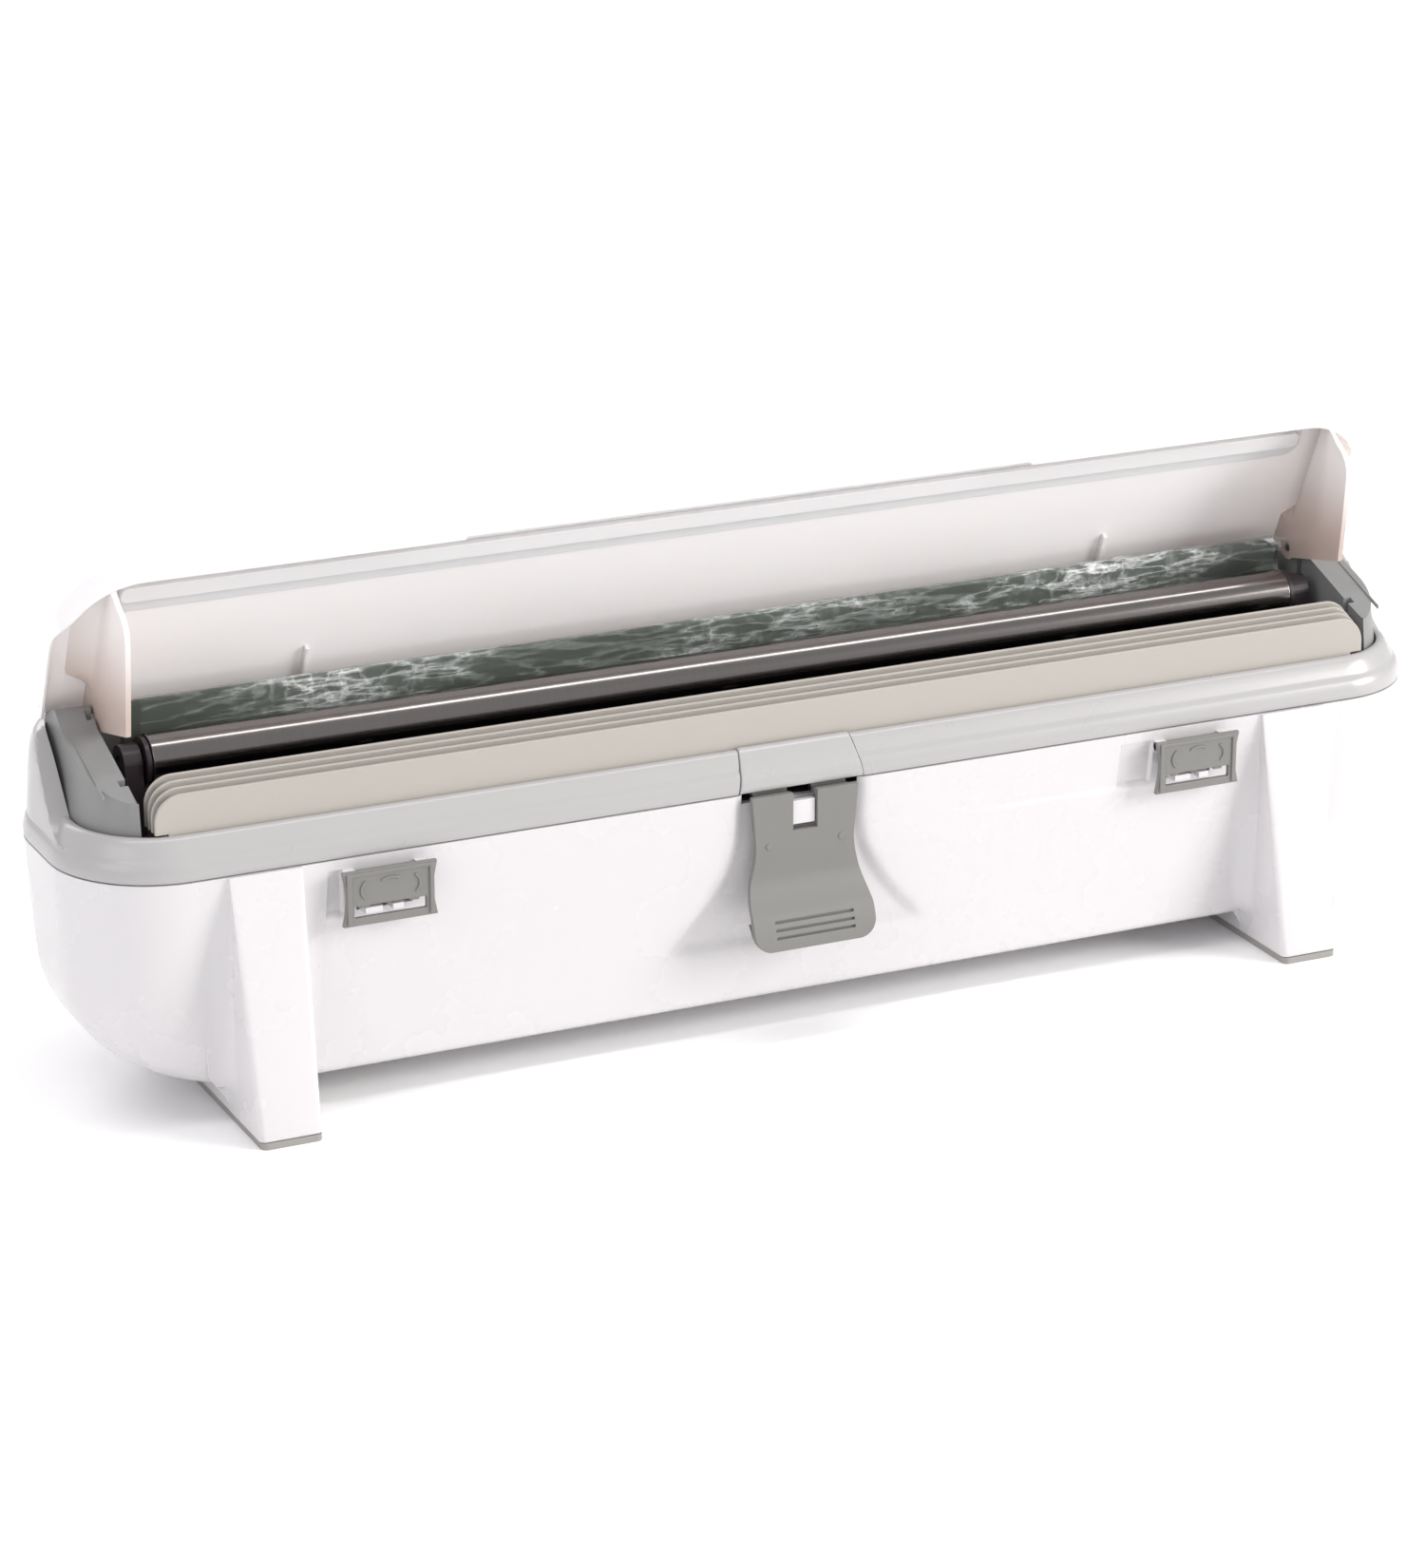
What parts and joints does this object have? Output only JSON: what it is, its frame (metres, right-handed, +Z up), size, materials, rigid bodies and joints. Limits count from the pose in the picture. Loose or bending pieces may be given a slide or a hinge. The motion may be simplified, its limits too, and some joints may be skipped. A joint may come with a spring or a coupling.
{
  "type": "cling film dispenser",
  "caption": "Counter-top cling film dispenser: white tub on legs, grey rim frame with feed roller, finger fins and cutter, front latch, side clips and a hinged lid standing open.",
  "frame": {"origin": "on the table, midway between the feet, under the middle of the tub", "axes": "+X to the user's right along the roll, +Y to the rear, +Z up"},
  "size_m": [0.565, 0.148, 0.2067],
  "materials": {
    "white_shell": "glossy moulded white",
    "lid_white": "glossy white, slightly translucent",
    "rim_grey": "satin light grey",
    "beige": "satin warm grey",
    "mid_grey": "fine-textured mid grey",
    "cap_grey": "satin dark grey",
    "near_black": "matt near black",
    "bar_green": "dark grey-green",
    "pad_rubber": "matt grey",
    "steel": "plain",
    "roller_steel": "satin, ground round",
    "film": "clear thin film",
    "card": "brown card"
  },
  "bodies": {
    "base": {"base_tub": "white_shell", "foot_pad_left": "pad_rubber", "foot_pad_right": "pad_rubber", "roll_cradle_left": "white_shell", "roll_cradle_right": "white_shell", "frame_hinge_pin_left": "steel", "frame_hinge_pin_right": "steel", "clip_pin_left": "steel", "clip_pin_right": "steel"},
    "roll": {"film_roll": "film", "film_core": "card", "core_plug_left": "near_black", "core_plug_right": "near_black"},
    "clip_left": {"side_clip_left": "mid_grey"},
    "clip_right": {"side_clip_right": "mid_grey"},
    "mid_frame": {"rim_frame": "rim_grey", "rear_cover": "rim_grey", "inner_deck": "near_black", "latch_cover": "rim_grey", "latch_pin": "steel", "fin_bar": "beige", "cutter_blade": "steel", "blade_carrier": "near_black", "blade_screw_left": "steel", "blade_screw_centre": "steel", "blade_screw_right": "steel", "roller_bracket_left": "near_black", "roller_bracket_right": "near_black", "rear_guide_bar": "bar_green", "film_web": "film", "end_cap_left": "cap_grey", "end_cap_right": "cap_grey"},
    "latch": {"front_latch": "mid_grey"},
    "roller": {"feed_roller": "roller_steel", "roller_plug_left": "near_black", "roller_plug_right": "near_black"},
    "lid": {"lid_shell": "lid_white", "lid_press_strip": "lid_white", "lid_pivot_pin_left": "steel", "lid_pivot_pin_right": "steel"}
  },
  "joints": [
    {"name": "frame_hinge", "type": "hinge", "parent": "base", "child": "mid_frame", "pos_m": [0, 0.0572, 0.0989], "axis": [-1, 0, 0], "range_deg": [0, 60]},
    {"name": "lid_hinge", "type": "hinge", "parent": "mid_frame", "child": "lid", "pos_m": [0, 0.016, 0.1415], "axis": [1, 0, 0], "range_deg": [0, 82]},
    {"name": "latch_hinge", "type": "hinge", "parent": "mid_frame", "child": "latch", "pos_m": [0, -0.0492, 0.1015], "axis": [-1, 0, 0], "range_deg": [0, 25]},
    {"name": "clip_left_hinge", "type": "hinge", "parent": "base", "child": "clip_left", "pos_m": [-0.169, -0.0544, 0.0925], "axis": [-1, 0, 0], "range_deg": [0, 25]},
    {"name": "clip_right_hinge", "type": "hinge", "parent": "base", "child": "clip_right", "pos_m": [0.169, -0.0544, 0.0925], "axis": [-1, 0, 0], "range_deg": [0, 25]},
    {"name": "roller_spin", "type": "hinge", "parent": "mid_frame", "child": "roller", "pos_m": [0, 0.0012, 0.128], "axis": [1, 0, 0], "continuous": true},
    {"name": "roll_spin", "type": "hinge", "parent": "base", "child": "roll", "pos_m": [0, 0, 0.052], "axis": [1, 0, 0], "continuous": true}
  ]
}
